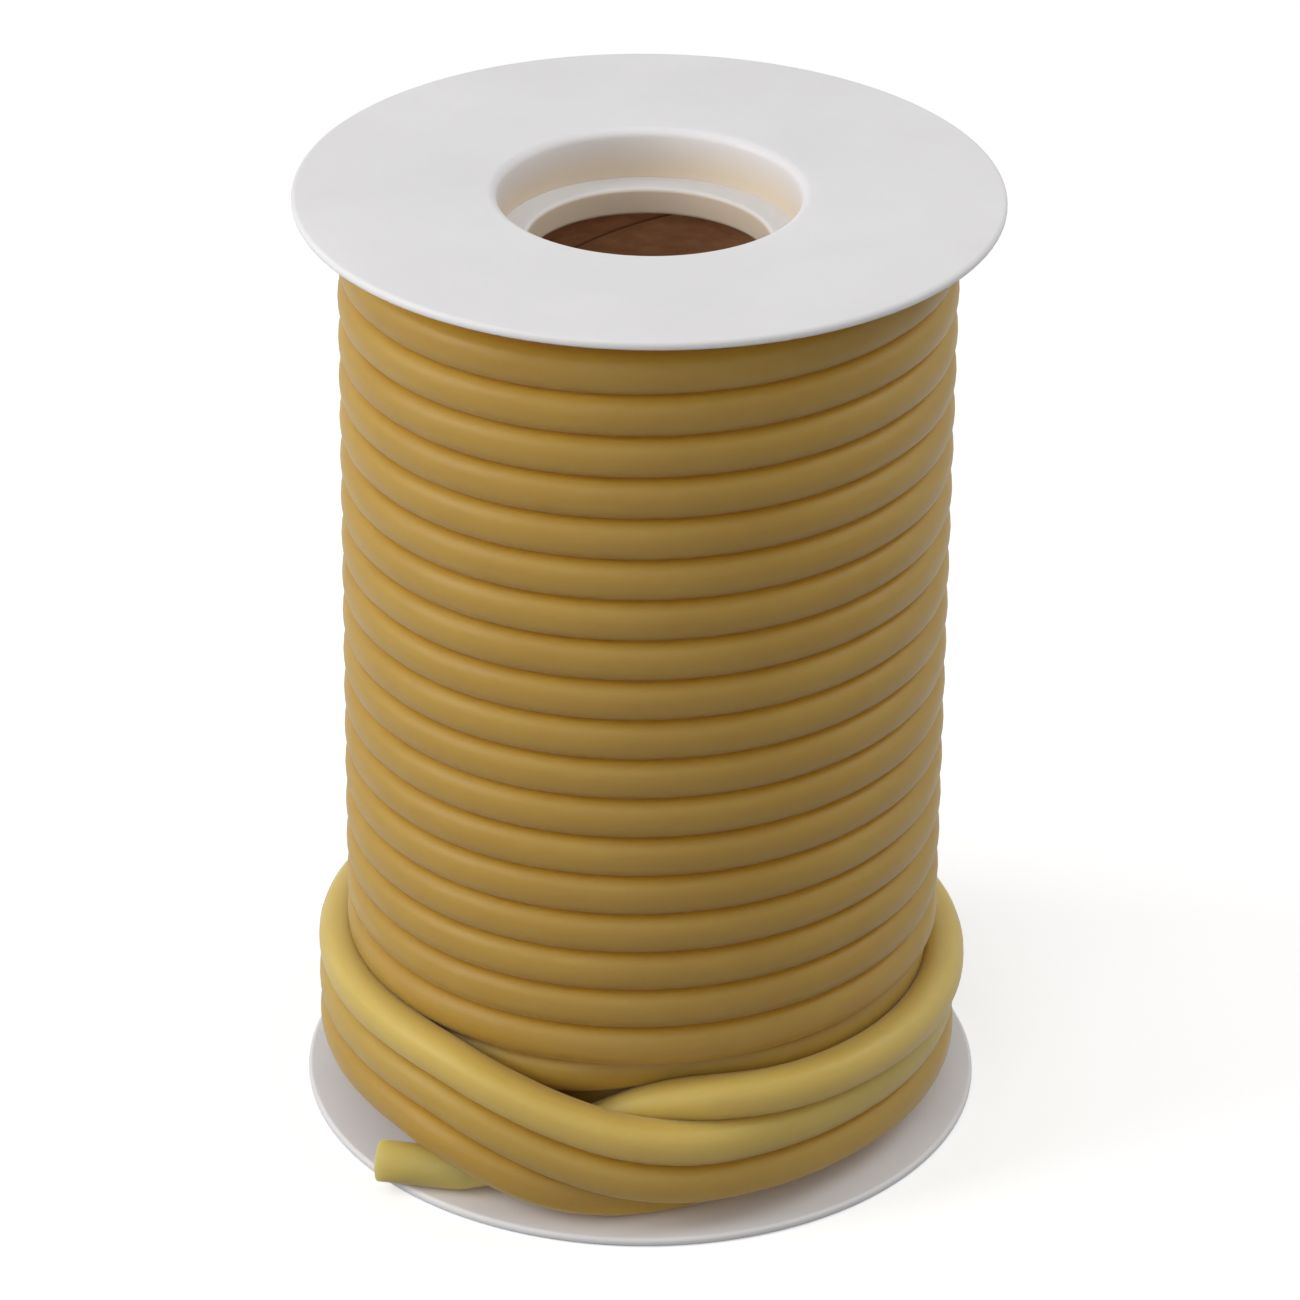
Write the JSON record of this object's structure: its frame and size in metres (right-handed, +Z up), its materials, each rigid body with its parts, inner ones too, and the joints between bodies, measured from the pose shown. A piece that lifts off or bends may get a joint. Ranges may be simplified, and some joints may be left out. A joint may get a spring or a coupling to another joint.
{
  "type": "rubber tubing reel",
  "caption": "Reel of amber rubber tubing: a card core between thin moulded flanges, wound in close turns, with loose outer turns crossing at the front and the free end tucked under them.",
  "frame": {"origin": "centre of the lower flange's outer face, on which the reel stands", "axes": "+Z up along the reel's axis, -Y towards the front, where the outer turns cross, +X to the right seen from the front"},
  "size_m": [0.103, 0.103, 0.1478],
  "materials": {
    "flange": "white moulded plastic, matte",
    "card": "brown spiral-wound card",
    "tubing": "translucent amber rubber, soft sheen"
  },
  "bodies": {
    "root": {"bottom_flange": "flange", "top_flange": "flange", "core_tube": "card", "tubing": "tubing"}
  },
  "joints": []
}
